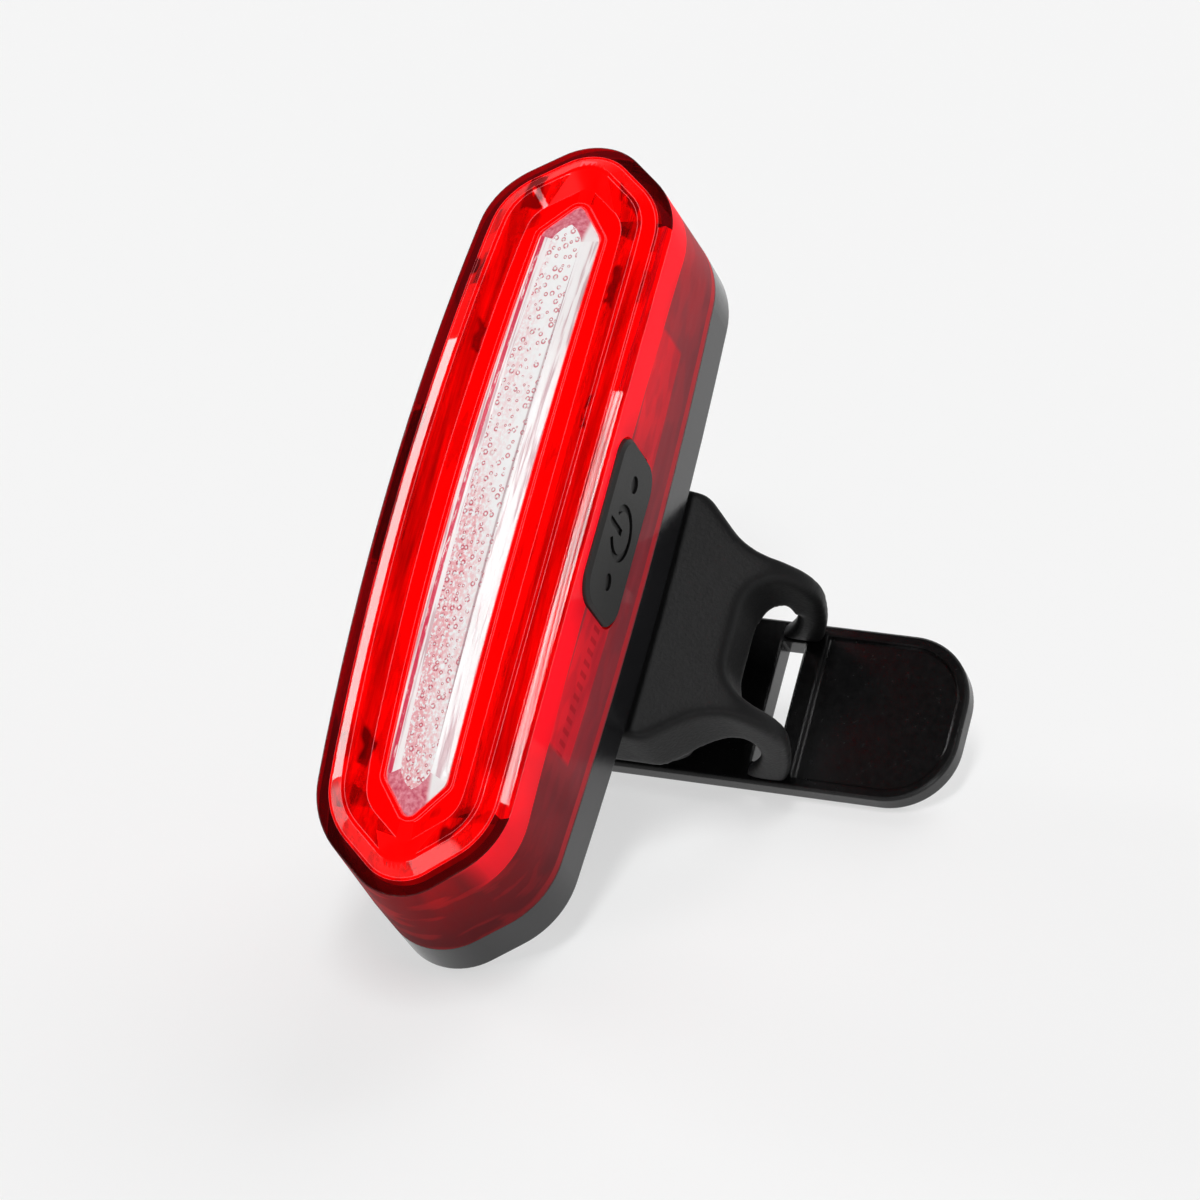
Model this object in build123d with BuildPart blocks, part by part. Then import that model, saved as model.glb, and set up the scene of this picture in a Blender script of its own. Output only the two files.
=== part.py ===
from build123d import *
from math import sqrt, tan, radians
import os

# Rechargeable bicycle tail light, standing on its long axis.
# X points to the button side, Y to the back, Z up; millimetres.
# The origin is the centre of the housing's flat back face, where the clip's rail stands.
# Depths are measured from that back face towards the lens, along -Y.

# Outline of the body: a long hexagon with bowed sides and rounded corners
body_half_length = 37.5
half_width = 10.48
side_bow = 0.92
shoulder_drop = 5.7
tip_excess = 1.7
shoulder_round = 8.7
apex_round = 6.3

# Depths of the body
seam_depth = 5.5
front_mid_depth = 20.5
front_bow = 3.1
draft = 1.9

# Rear housing
back_wall = 1.8
back_edge_bevel = 0.8
lip_gap = 0.1
lip_thickness = 0.8
lip_air = 0.2
seal_inset = 0.45
seal_width = 0.5
seal_height = 0.5
seal_gap = 0.04

# Lens cover
lens_wall = 1.3
lens_front_wall = 1.3
rim_width = 1.35
rim_slope_width = 1.25
rim_drop = 0.36
crown_height = 0.7
crown_bevel = 1.2
crest_width = 0.25
valley_slope = 1.9
valley_depth = 0.85
overrun = 0.05

# Clear window in the lens
window_half_width = 3.3
window_side_bow = 0.35
window_end_margin = 6.9
window_tip = 3.6
window_round = 0.8
window_gap = 0.05
window_proud = 0.35
window_bevel = 0.4
window_flange = 0.6
window_flange_thickness = 0.8
frame_width = 0.5
frame_height = 0.3

# Light unit behind the window
fit_gap = 0.05
window_air = 0.4
diffuser_width = 3.7
diffuser_end_margin = 2.0
diffuser_back = 2.65
carrier_floor = 1.4
carrier_side_air = 0.24
carrier_side_bow = 0.66
carrier_round = 2.0
carrier_air = 0.8
skirt_height = 1.2
skirt_wall = 0.8
carrier_waist = 7.2
waist_margin = 1.9
ear_z = 23.3
ear_length = 3.4
ear_inset = 1.9
trough_inset = 0.25
led_board_thickness = 0.8
led_board_width = 6.4
board_end_margin = 1.0
cob_thickness = 0.4
cob_width = 2.6
throat_margin = 0.4

# Case screws and the bosses that take them
case_screw_inset = 4.8
case_screw_head_radius = 1.7
case_screw_head_height = 1.0
case_screw_radius = 0.75
case_screw_length = 8.0
head_clearance = 0.2
counterbore_depth = 1.3
pad_radius = 2.9
pad_depth = 3.4
boss_radius = 1.8
recess_size = 1.9
recess_width = 0.45
recess_depth = 0.5

# Main board and what it carries
board_headroom = 3.0
board_thickness = 1.0
board_width = 14.4
main_board_end_margin = 13.0
board_corner = 1.5
post_x = 5.5
post_inset = 3.0
post_width = 3.6
board_screw_radius = 0.7
board_screw_head_radius = 1.4
board_screw_head_height = 0.9
board_screw_length = 5.0
pin_width = 0.6
pin_spacing = 2.54
pin_inset = 4.5
chip_size = 4.0
chip_height = 0.9
chip_z = -12.0
leg_pitch = 1.0
leg_width = 0.4
leg_reach = 0.7
leg_height = 0.25
inductor_radius = 2.1
inductor_height = 2.3
inductor_z = -9.0
capacitor_size = 1.6
capacitor_height = 0.9
capacitor_pitch = 3.2
charge_led_size = 1.6
charge_led_height = 0.8
charge_led_z = 8.0

# Battery
battery_width = 14.0
battery_end_air = 1.7
battery_front_air = 1.2
battery_round = 1.4
pad_thickness = 0.5
pad_margin = 1.0
lead_radius = 0.5
lead_spacing = 3.0
lead_bend = 1.5
lead_reach = 3.2

# Button and its switch
button_inset = 6.3
button_z = 0.6
button_width = 9.0
button_length = 16.2
button_corner = 2.5
button_gap = 0.15
button_proud = 0.35
edge_bevel = 0.3
button_flange = 0.8
button_flange_thickness = 0.6
button_travel = 0.5
symbol_radius = 2.6
symbol_width = 0.65
symbol_depth = 0.25
symbol_opening = 64
symbol_bar = 3.2
dot_spacing = 9.6
dot_radius = 0.8
switch_size = 2.6
switch_length = 6.0
switch_thickness = 2.2
plunger_radius = 0.8
plunger_gap = 0.05
plunger_engagement = 1.1

# Charging socket and its rubber cover
usb_width = 7.5
usb_height = 2.6
usb_length = 4.8
usb_wall = 0.3
usb_setback = 0.3
tongue_thickness = 0.5
tongue_margin = 0.85
port_gap = 0.4
cover_length = 13.0
cover_width = 8.0
cover_corner = 1.6
cover_thickness = 1.0
cover_recess = 0.75
cover_gap = 0.2
plug_gap = 0.2
plug_length = 0.9
anchor_length = 2.6
anchor_stem_radius = 0.9
anchor_stem_reach = 0.6
hinge_gap = 0.15

# Rail on the back of the housing
rail_bottom = -12.3
neck_half_width = 2.5
head_half_width = 4.5
head_thickness = 1.6
rail_gap = 0.12
stop_length = 1.4

# Clip bracket
bracket_gap = 1.2
bracket_lip = 1.2
bracket_half_height = 12.5
bracket_left = -9.0
bracket_flat_right = 9.4
bracket_back = 8.4
bracket_back_right = 10.0
root_right = 11.0
root_round = 1.5
neck_x = 15.6
neck_round = 6.0
web_right = 17.0
web_front = 4.0
web_back = 10.1
jaw_x = 4.5
jaw_radius = 7.2
jaw_gap = 0.3

# Spring arms that curl from the bracket's web to the lever
arm_half_height = 8.1
notch_half_height = 6.2
notch_left = 16.2
notch_back_left = 12.3
notch_round = 3.6
arm_outer_x = 21.4
arm_outer_y = 11.0
arm_inner_x = 18.1
arm_inner_y = 13.2
arm_shoulder = (20.1, 6.2)
arm_hollow = (17.9, 11.4)
foot_left = 14.6
foot_right = 18.9

# Lever plate with its thumb panel
lever_front = 20.2
lever_thickness = 2.6
lever_overhang = 0.25
lever_right = 34.3
lever_corner = 6.5
lever_jaw_corner = 2.5
lever_edge_bevel = 0.6
lever_front_bevel = 0.25
panel_left = 19.3
panel_margin = 1.1
panel_depth = 0.5
slot_left = 15.0
slot_right = 17.3
lead_in = 1.2

shoulder_x = half_width - side_bow
shoulder_z = body_half_length - shoulder_drop
apex_z = body_half_length + tip_excess
window_apex_z = body_half_length - window_end_margin
window_shoulder_z = window_apex_z - window_tip
window_shoulder_x = window_half_width - window_side_bow
case_screw_z = body_half_length - case_screw_inset
board_half_length = body_half_length - main_board_end_margin
post_z = board_half_length - post_inset
pin_z = board_half_length - pin_inset
arch_radius = (body_half_length**2 + front_bow**2) / (2 * front_bow)
reach = 2 * body_half_length
front_draw = (front_mid_depth - seam_depth) * tan(radians(draft))
seam_wall = lens_wall + front_draw
crest_depth = front_mid_depth + crown_height
valley_floor = crest_depth - valley_depth
inner_front = valley_floor - lens_front_wall
boss_end = front_mid_depth - front_bow
diffuser_front = inner_front - window_air
diffuser_depth = inner_front - diffuser_back
carrier_depth = diffuser_depth - carrier_floor
diffuser_length = 2 * (window_apex_z - diffuser_end_margin)
led_board_length = 2 * (window_apex_z - board_end_margin)
led_board_front = carrier_depth + fit_gap + led_board_thickness
cob_length = diffuser_length - diffuser_end_margin
lever_half_height = arm_half_height + lever_overhang
lever_left = bracket_left
button_depth = front_mid_depth - button_inset
lip_height = button_depth - button_width / 2 - button_flange - lip_air - seam_depth
board_front = carrier_depth - board_headroom
board_depth = board_front - board_thickness
battery_length = 2 * (post_z - post_width / 2 - battery_end_air)
battery_back = back_wall + pad_thickness
battery_thickness = board_depth - inductor_height - battery_front_air - battery_back
side_x = half_width - (button_depth - seam_depth) * tan(radians(draft))
inner_side_x = half_width - seam_wall
carrier_half_width = inner_side_x - carrier_side_air
skirt_back = carrier_depth - skirt_height
waist_length = button_length + 2 * waist_margin
port_depth = board_front + usb_height / 2
neck_height = bracket_gap + bracket_lip + rail_gap
rail_top = bracket_half_height + rail_gap
rail_middle = (rail_top + rail_bottom) / 2
rail_length = rail_top - rail_bottom
cover_floor_x = side_x - cover_recess
cover_bottom = -cover_length / 2
anchor_bottom = cover_length / 2 + hinge_gap
anchor_top = anchor_bottom + anchor_length
anchor_z = anchor_bottom + anchor_length / 2
pocket_length = anchor_top - cover_bottom + 2 * cover_gap
case_screw_spots = [(0, case_screw_z), (0, -case_screw_z)]
post_spots = [(post_x, post_z), (-post_x, -post_z)]


def arch_sag(z):
    """How much nearer to the back the bowed front lies at height z than at mid height."""
    return arch_radius - sqrt(arch_radius**2 - z**2)


def long_hexagon(mid_x, corner_x, corner_z, tip_z, corner_round, tip_round):
    """A tall outline with bowed sides and a blunt point at each end, on local X and Y."""
    with BuildSketch() as outline:
        with BuildLine():
            ThreePointArc((corner_x, -corner_z), (mid_x, 0), (corner_x, corner_z))
            Line((corner_x, corner_z), (0, tip_z))
            Line((0, tip_z), (-corner_x, corner_z))
            ThreePointArc((-corner_x, corner_z), (-mid_x, 0), (-corner_x, -corner_z))
            Line((-corner_x, -corner_z), (0, -tip_z))
            Line((0, -tip_z), (corner_x, -corner_z))
        make_face()
        rows = outline.vertices().group_by(Axis.Y)
        fillet(rows[0] + rows[-1], radius=tip_round)
        corners = outline.vertices().filter_by(lambda v: abs(abs(v.X) - corner_x) < 0.01)
        fillet(corners, radius=corner_round)
    return outline.sketch


def grown(outline, amount):
    """The outline, moved outwards by amount, or inwards when it is negative."""
    with BuildSketch() as result:
        add(outline)
        offset(amount=amount)
    return result.sketch


def arch_band(back_mid, front_mid):
    """A band between two bowed surfaces, given by their depths at mid height."""
    end = body_half_length + 1
    front_end = front_mid - arch_sag(end)
    back_end = back_mid - arch_sag(end)
    with BuildPart() as band:
        with BuildSketch(Plane.YZ):
            with BuildLine():
                ThreePointArc((-front_end, -end), (-front_mid, 0), (-front_end, end))
                Line((-front_end, end), (-back_end, end))
                ThreePointArc((-back_end, end), (-back_mid, 0), (-back_end, -end))
                Line((-back_end, -end), (-front_end, -end))
            make_face()
        extrude(amount=reach / 2, both=True)
    return band.part


def bowed(outline, back_mid, front_mid):
    """The outline as a plate between two bowed surfaces."""
    band = arch_band(back_mid, front_mid)
    with BuildPart() as plate:
        with BuildSketch(Plane.XZ):
            add(outline)
        extrude(amount=reach)
        add(band, mode=Mode.INTERSECT)
    return plate.part


def bowed_from(outline, back, front_mid, taper=0.0):
    """The outline raised from the flat depth back to a bowed front."""
    band = arch_band(-reach, front_mid)
    with BuildPart() as block:
        with BuildSketch(Plane.XZ.offset(back)):
            add(outline)
        extrude(amount=front_mid - back + 1, taper=taper)
        add(band, mode=Mode.INTERSECT)
    return block.part


def front_face(part):
    """The front one of a plate's two largest faces."""
    return part.faces().sort_by(SortBy.AREA)[-2:].sort_by(Axis.Y)[0]


def back_face(part):
    """The back one of a plate's two largest faces."""
    return part.faces().sort_by(SortBy.AREA)[-2:].sort_by(Axis.Y)[-1]


def save(builder, name):
    """Label the finished piece and write it."""
    builder.part.label = name
    export_step(builder.part, f"parts/{name}.step")


os.makedirs("parts", exist_ok=True)

body_outline = long_hexagon(half_width, shoulder_x, shoulder_z, apex_z, shoulder_round, apex_round)
window_outline = long_hexagon(
    window_half_width, window_shoulder_x, window_shoulder_z, window_apex_z, window_round, window_round
)
lip_outer = grown(body_outline, -(seam_wall + lip_gap))
lip_inner = grown(body_outline, -(seam_wall + lip_gap + lip_thickness))

# Rear housing: a tray with a lip, board posts, screw pads and the clip's rail
with BuildPart() as rear_housing:
    with BuildSketch(Plane.XZ):
        add(body_outline)
    extrude(amount=seam_depth)
    chamfer(back_face(rear_housing.part).edges(), length=back_edge_bevel)
    with BuildSketch(Plane.XZ.offset(seam_depth)):
        add(lip_outer)
    extrude(amount=lip_height)
    with BuildSketch(Plane.XZ.offset(back_wall)):
        add(lip_inner)
    extrude(amount=seam_depth + lip_height, mode=Mode.SUBTRACT)
    with BuildSketch(Plane.XZ.offset(seam_depth)):
        add(grown(body_outline, -seal_inset))
        add(grown(body_outline, -(seal_inset + seal_width)), mode=Mode.SUBTRACT)
    extrude(amount=-seal_height, mode=Mode.SUBTRACT)
    with BuildSketch(Plane.XZ.offset(back_wall)):
        with Locations(*post_spots):
            Rectangle(post_width, post_width)
    extrude(amount=board_depth - back_wall)
    with BuildSketch(Plane.XZ.offset(board_depth)):
        with Locations(*post_spots):
            Circle(board_screw_radius + fit_gap)
    extrude(amount=-board_screw_length, mode=Mode.SUBTRACT)
    with BuildSketch(Plane.XZ.offset(back_wall)):
        with Locations(*case_screw_spots):
            Circle(pad_radius)
        add(lip_inner, mode=Mode.INTERSECT)
    extrude(amount=pad_depth - back_wall)
    with BuildSketch(Plane.XZ):
        with Locations(*case_screw_spots):
            Circle(case_screw_head_radius + head_clearance)
    extrude(amount=counterbore_depth, mode=Mode.SUBTRACT)
    with BuildSketch(Plane.XZ):
        with Locations(*case_screw_spots):
            Circle(case_screw_radius + head_clearance)
    extrude(amount=pad_depth, mode=Mode.SUBTRACT)
    with BuildSketch(Plane.XZ):
        with Locations((0, rail_middle)):
            Rectangle(2 * neck_half_width, rail_length)
    extrude(amount=-neck_height)
    with BuildSketch(Plane.XZ.offset(-neck_height)):
        with Locations((0, rail_middle)):
            Rectangle(2 * head_half_width, rail_length)
    extrude(amount=-head_thickness)
    with BuildSketch(Plane.XZ):
        with Locations((0, rail_top + stop_length / 2)):
            Rectangle(2 * head_half_width, stop_length)
    extrude(amount=-(neck_height + head_thickness))
save(rear_housing, "rear_housing")

# Seal in the groove of the rear housing's rim
with BuildPart() as housing_seal:
    with BuildSketch(Plane.XZ.offset(seam_depth)):
        add(grown(body_outline, -(seal_inset + seal_gap)))
        add(grown(body_outline, -(seal_inset + seal_width - seal_gap)), mode=Mode.SUBTRACT)
    extrude(amount=-seal_height)
save(housing_seal, "housing_seal")

# Lens cover: a tapered shell with a bowed front, whose crown has a bevel, a crest and a valley
rim_outline = grown(body_outline, -(rim_width + front_draw))
valley_rim = grown(body_outline, -(rim_width + front_draw + crown_bevel + crest_width))
flange_outline = grown(window_outline, window_flange)

with BuildPart() as crown:
    add(bowed_from(rim_outline, seam_depth + lens_wall, crest_depth))
    crest = front_face(crown.part)
    chamfer(crest.edges(), length=crown_bevel, length2=crown_height + overrun, reference=crest)

with BuildPart() as valley:
    add(bowed(valley_rim, valley_floor, crest_depth + 1))
    floor = back_face(valley.part)
    chamfer(floor.edges(), length=valley_slope, length2=valley_depth + overrun, reference=floor)

cavity_form = bowed_from(grown(body_outline, -seam_wall), seam_depth, inner_front)
window_frame = bowed(grown(window_outline, frame_width), inner_front, valley_floor + frame_height)
window_hole = bowed(grown(window_outline, window_gap), inner_front - 1, crest_depth + 1)
flange_seat = bowed(grown(flange_outline, window_gap), inner_front - 1, inner_front + window_flange_thickness)

with BuildPart() as lens_cover:
    add(bowed_from(body_outline, seam_depth, front_mid_depth, taper=draft))
    split(bisect_by=Plane.XY, keep=Keep.BOTTOM)
    half_front = front_face(lens_cover.part)
    rim_edges = half_front.edges().filter_by(lambda edge: edge.center().Z < -1)
    chamfer(rim_edges, length=rim_slope_width, length2=rim_drop, reference=half_front)
    mirror(about=Plane.XY)
    add(crown.part)
    add(valley.part, mode=Mode.SUBTRACT)
    add(cavity_form, mode=Mode.SUBTRACT)
    add(window_frame)
    add(flange_seat, mode=Mode.SUBTRACT)
    add(window_hole, mode=Mode.SUBTRACT)
    with BuildSketch(Plane.XZ.offset(pad_depth + fit_gap)):
        with Locations(*case_screw_spots):
            Circle(boss_radius)
    extrude(amount=boss_end - pad_depth)
    with BuildSketch(Plane.XZ.offset(pad_depth)):
        with Locations(*case_screw_spots):
            Circle(case_screw_radius + fit_gap)
    extrude(amount=case_screw_length, mode=Mode.SUBTRACT)
    with BuildSketch(Plane.YZ.offset(inner_side_x - 1)):
        with Locations((-button_depth, button_z)):
            RectangleRounded(button_width + 2 * button_gap, button_length + 2 * button_gap, button_corner)
    extrude(amount=seam_wall + 2, mode=Mode.SUBTRACT)
    with BuildSketch(Plane.YZ.offset(1 - inner_side_x)):
        with Locations((-port_depth, 0)):
            Rectangle(usb_height + 2 * port_gap, usb_width + 2 * port_gap)
        with Locations((-port_depth, anchor_z)):
            Circle(anchor_stem_radius + fit_gap)
    extrude(amount=-(seam_wall + 2), mode=Mode.SUBTRACT)
    with BuildSketch(Plane.YZ.offset(-cover_floor_x)):
        with Locations((-port_depth, (cover_bottom + anchor_top) / 2)):
            RectangleRounded(cover_width + 2 * cover_gap, pocket_length, cover_corner + cover_gap)
    extrude(amount=-3, mode=Mode.SUBTRACT)
save(lens_cover, "lens_cover")

# Clear window with a flange that seats behind the lens
with BuildPart() as lens_window:
    add(bowed(window_outline, inner_front, valley_floor + window_proud))
    chamfer(front_face(lens_window.part).edges(), length=window_bevel)
    add(bowed(flange_outline, inner_front, inner_front + window_flange_thickness - fit_gap))
save(lens_window, "lens_window")

# Carrier tray: a skirt along the wall with a waist for the button and the socket and four notches,
# a pocket for the strip board behind, a throat, a bed for the diffuser and a trough in front
carrier_outline = long_hexagon(
    carrier_half_width,
    carrier_half_width - carrier_side_bow,
    window_shoulder_z,
    window_apex_z,
    carrier_round,
    window_round,
)

with BuildPart() as led_carrier:
    add(bowed_from(carrier_outline, skirt_back, inner_front - carrier_air))
    with BuildSketch(Plane.XZ.offset(skirt_back)):
        add(grown(carrier_outline, -skirt_wall))
    extrude(amount=skirt_height, mode=Mode.SUBTRACT)
    with BuildSketch(Plane.XZ.offset(skirt_back)):
        with Locations((0, button_z)):
            with GridLocations(2 * half_width, 1, 2, 1):
                Rectangle(2 * (half_width - carrier_waist), waist_length)
        with GridLocations(2 * carrier_half_width, 2 * ear_z, 2, 2):
            Rectangle(2 * ear_inset, ear_length)
    extrude(amount=reach, mode=Mode.SUBTRACT)
    add(bowed_from(grown(window_outline, -fit_gap), carrier_depth, inner_front - fit_gap))
    with BuildSketch(Plane.XZ.offset(carrier_depth)):
        Rectangle(led_board_width + 2 * fit_gap, led_board_length + 2 * fit_gap)
    extrude(amount=led_board_front - carrier_depth, mode=Mode.SUBTRACT)
    with BuildSketch(Plane.XZ.offset(carrier_depth)):
        SlotOverall(diffuser_length - 2 * throat_margin, diffuser_width - 2 * throat_margin, rotation=90)
    extrude(amount=diffuser_depth - carrier_depth, mode=Mode.SUBTRACT)
    with BuildSketch(Plane.XZ.offset(diffuser_depth)):
        SlotOverall(diffuser_length + 2 * fit_gap, diffuser_width + 2 * fit_gap, rotation=90)
    extrude(amount=reach, mode=Mode.SUBTRACT)
    add(bowed(grown(window_outline, -trough_inset), diffuser_front, inner_front), mode=Mode.SUBTRACT)
save(led_carrier, "led_carrier")

# Diffuser bar with round ends between the light strip and the window
with BuildSketch() as diffuser_outline:
    SlotOverall(diffuser_length, diffuser_width, rotation=90)

with BuildPart() as diffuser:
    add(bowed_from(diffuser_outline.sketch, diffuser_depth, diffuser_front))
save(diffuser, "diffuser")

# Strip board
with BuildPart() as led_board:
    with BuildSketch(Plane.XZ.offset(led_board_front)):
        Rectangle(led_board_width, led_board_length)
    extrude(amount=-led_board_thickness)
save(led_board, "led_board")

# Light strip: the phosphor bar on the strip board
with BuildPart() as cob_strip:
    with BuildSketch(Plane.XZ.offset(led_board_front)):
        SlotOverall(cob_length, cob_width, rotation=90)
    extrude(amount=cob_thickness)
save(cob_strip, "cob_strip")

# Pins that join the main board to the strip board
with BuildPart() as link_pins:
    with BuildSketch(Plane.XZ.offset(board_front)):
        with Locations((-pin_spacing / 2, pin_z), (pin_spacing / 2, pin_z)):
            Rectangle(pin_width, pin_width)
    extrude(amount=led_board_front - led_board_thickness - board_front)
save(link_pins, "link_pins")

# Main board on its two posts
with BuildPart() as main_board:
    with BuildSketch(Plane.XZ.offset(board_depth)):
        RectangleRounded(board_width, 2 * board_half_length, board_corner)
        with Locations(*post_spots):
            Circle(board_screw_radius + head_clearance, mode=Mode.SUBTRACT)
    extrude(amount=board_thickness)
save(main_board, "main_board")

# Screws that hold the main board
with BuildPart() as board_screws:
    with BuildSketch(Plane.XZ.offset(board_front)):
        with Locations(*post_spots):
            Circle(board_screw_head_radius)
    extrude(amount=board_screw_head_height)
    with BuildSketch(Plane.XZ.offset(board_front)):
        with Locations(*post_spots):
            Circle(board_screw_radius)
    extrude(amount=-board_screw_length)
save(board_screws, "board_screws")

# Controller chip with its legs
with BuildPart() as controller_chip:
    with BuildSketch(Plane.XZ.offset(board_front)):
        with Locations((0, chip_z)):
            Rectangle(chip_size, chip_size)
    extrude(amount=chip_height)
    with BuildSketch(Plane.XZ.offset(board_front)):
        with Locations((0, chip_z)):
            with GridLocations(chip_size + leg_reach, leg_pitch, 2, 3):
                Rectangle(leg_reach, leg_width)
    extrude(amount=leg_height)
save(controller_chip, "controller_chip")

# Inductor and capacitors on the back of the main board
with BuildPart() as power_parts:
    with BuildSketch(Plane.XZ.offset(board_depth)):
        with Locations((0, inductor_z)):
            Circle(inductor_radius)
        with Locations((0, 0)):
            with GridLocations(capacitor_pitch, 1, 3, 1):
                Rectangle(capacitor_size / 2, capacitor_size)
    extrude(amount=-capacitor_height)
    with BuildSketch(Plane.XZ.offset(board_depth - capacitor_height)):
        with Locations((0, inductor_z)):
            Circle(inductor_radius)
    extrude(amount=-(inductor_height - capacitor_height))
save(power_parts, "power_parts")

# Charge indicator beside the charging socket
with BuildPart() as charge_led:
    with BuildSketch(Plane.XZ.offset(board_front)):
        with Locations((-(board_width / 2 - charge_led_size), charge_led_z)):
            Rectangle(charge_led_size, charge_led_size / 2)
    extrude(amount=charge_led_height)
save(charge_led, "charge_led")

# Foam pad under the battery
with BuildPart() as battery_pad:
    with BuildSketch(Plane.XZ.offset(back_wall)):
        Rectangle(battery_width - 2 * pad_margin, battery_length - 2 * pad_margin)
    extrude(amount=pad_thickness)
save(battery_pad, "battery_pad")

# Pouch battery with rounded long edges
with BuildPart() as battery:
    with BuildSketch(Plane.XZ.offset(battery_back)):
        Rectangle(battery_width, battery_length)
    extrude(amount=battery_thickness)
    fillet(battery.edges().filter_by(Axis.Z), radius=battery_round)
save(battery, "battery")

# Two battery leads, from the top of the pouch round to the back of the main board
lead_depth = battery_back + battery_thickness / 2
lead_turn_z = battery_length / 2 + lead_reach

with BuildPart() as battery_leads:
    for lead_x in (-lead_spacing / 2, lead_spacing / 2):
        with BuildLine() as route:
            FilletPolyline(
                (lead_x, -lead_depth, battery_length / 2),
                (lead_x, -lead_depth, lead_turn_z),
                (lead_x, -board_depth, lead_turn_z),
                radius=lead_bend,
            )
        with BuildSketch(Plane(route.line @ 0, z_dir=route.line % 0)):
            RegularPolygon(lead_radius, 8)
        sweep(path=route.line)
save(battery_leads, "battery_leads")

# Button: a rubber key with a flange behind the wall, and debossed generic marks
flange_x = inner_side_x - button_gap
button_face_x = side_x + button_proud

with BuildPart() as button:
    with BuildSketch(Plane.YZ.offset(flange_x)):
        with Locations((-button_depth, button_z)):
            RectangleRounded(button_width, button_length, button_corner)
    extrude(amount=button_face_x - flange_x)
    chamfer(button.faces().sort_by(Axis.X)[-1].edges(), length=edge_bevel)
    with BuildSketch(Plane.YZ.offset(flange_x)):
        with Locations((button_flange / 2 - button_depth, button_z)):
            Rectangle(button_width + button_flange, button_length + 2 * button_flange)
    extrude(amount=-button_flange_thickness)
    with BuildSketch(Plane.YZ.offset(button_face_x)):
        with Locations((-button_depth, button_z)):
            Circle(symbol_radius)
            Circle(symbol_radius - symbol_width, mode=Mode.SUBTRACT)
        with BuildLine():
            gap_reach = symbol_radius + 1
            gap_half = gap_reach * tan(radians(symbol_opening / 2))
            Polyline(
                (-button_depth, button_z),
                (-button_depth - gap_reach, button_z + gap_half),
                (-button_depth - gap_reach, button_z - gap_half),
                close=True,
            )
        make_face(mode=Mode.SUBTRACT)
        with Locations((-button_depth - symbol_bar / 2, button_z)):
            Rectangle(symbol_bar, symbol_width)
        with Locations((-button_depth, button_z)):
            with GridLocations(1, dot_spacing, 1, 2):
                Circle(dot_radius)
    extrude(amount=-symbol_depth, mode=Mode.SUBTRACT)
save(button, "button")

# Side switch on the main board, and its plunger, which the button pushes
plunger_tip_x = flange_x - button_flange_thickness
switch_right = plunger_tip_x - button_travel - head_clearance
switch_axis_depth = board_front + switch_size / 2
bore_depth = plunger_engagement + button_travel + head_clearance / 2

with BuildPart() as tact_switch:
    with BuildSketch(Plane.YZ.offset(switch_right)):
        with Locations((-switch_axis_depth, button_z)):
            Rectangle(switch_size, switch_length)
    extrude(amount=-switch_thickness)
    with BuildSketch(Plane.YZ.offset(switch_right)):
        with Locations((-switch_axis_depth, button_z)):
            Circle(plunger_radius + plunger_gap)
    extrude(amount=-bore_depth, mode=Mode.SUBTRACT)
save(tact_switch, "tact_switch")

with BuildPart() as switch_plunger:
    with BuildSketch(Plane.YZ.offset(plunger_tip_x)):
        with Locations((-switch_axis_depth, button_z)):
            Circle(plunger_radius)
    extrude(amount=switch_right - plunger_engagement - plunger_tip_x)
save(switch_plunger, "switch_plunger")

# Charging socket: a metal shell, open to the side, with a contact tongue
usb_mouth_x = -(inner_side_x - usb_setback)
usb_back_x = usb_mouth_x + usb_length

with BuildPart() as usb_shell:
    with BuildSketch(Plane.YZ.offset(usb_mouth_x)):
        with Locations((-port_depth, 0)):
            RectangleRounded(usb_height, usb_width, usb_wall)
    extrude(amount=usb_length)
    with BuildSketch(Plane.YZ.offset(usb_mouth_x)):
        with Locations((-port_depth, 0)):
            Rectangle(usb_height - 2 * usb_wall, usb_width - 2 * usb_wall)
    extrude(amount=usb_length - usb_wall, mode=Mode.SUBTRACT)
save(usb_shell, "usb_shell")

with BuildPart() as usb_tongue:
    with BuildSketch(Plane.YZ.offset(usb_back_x - usb_wall)):
        with Locations((-port_depth, 0)):
            Rectangle(tongue_thickness, usb_width - 2 * tongue_margin)
    extrude(amount=-(usb_length - 3 * usb_wall))
save(usb_tongue, "usb_tongue")

# Rubber cover of the charging socket: a flap with a plug, and the anchor that holds it
with BuildSketch() as flap_outline:
    Rectangle(cover_width, cover_length)
    fillet(flap_outline.vertices().group_by(Axis.Y)[0], radius=cover_corner)

with BuildSketch() as anchor_outline:
    Rectangle(cover_width, anchor_length)
    fillet(anchor_outline.vertices().group_by(Axis.Y)[-1], radius=cover_corner)

with BuildPart() as port_cover:
    with BuildSketch(Plane.YZ.offset(-cover_floor_x)):
        with Locations((-port_depth, 0)):
            add(flap_outline.sketch)
    extrude(amount=-cover_thickness)
    chamfer(port_cover.faces().sort_by(Axis.X)[0].edges().group_by(Axis.Z)[:-1], length=edge_bevel)
    with BuildSketch(Plane.YZ.offset(-cover_floor_x)):
        with Locations((-port_depth, 0)):
            Rectangle(usb_height + 2 * (port_gap - plug_gap), usb_width + 2 * (port_gap - plug_gap))
    extrude(amount=plug_length)
save(port_cover, "port_cover")

with BuildPart() as cover_anchor:
    with BuildSketch(Plane.YZ.offset(-cover_floor_x)):
        with Locations((-port_depth, anchor_z)):
            add(anchor_outline.sketch)
    extrude(amount=-cover_thickness)
    with BuildSketch(Plane.YZ.offset(-cover_floor_x)):
        with Locations((-port_depth, anchor_z)):
            Circle(anchor_stem_radius)
    extrude(amount=cover_floor_x - inner_side_x + anchor_stem_reach)
save(cover_anchor, "cover_anchor")

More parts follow.
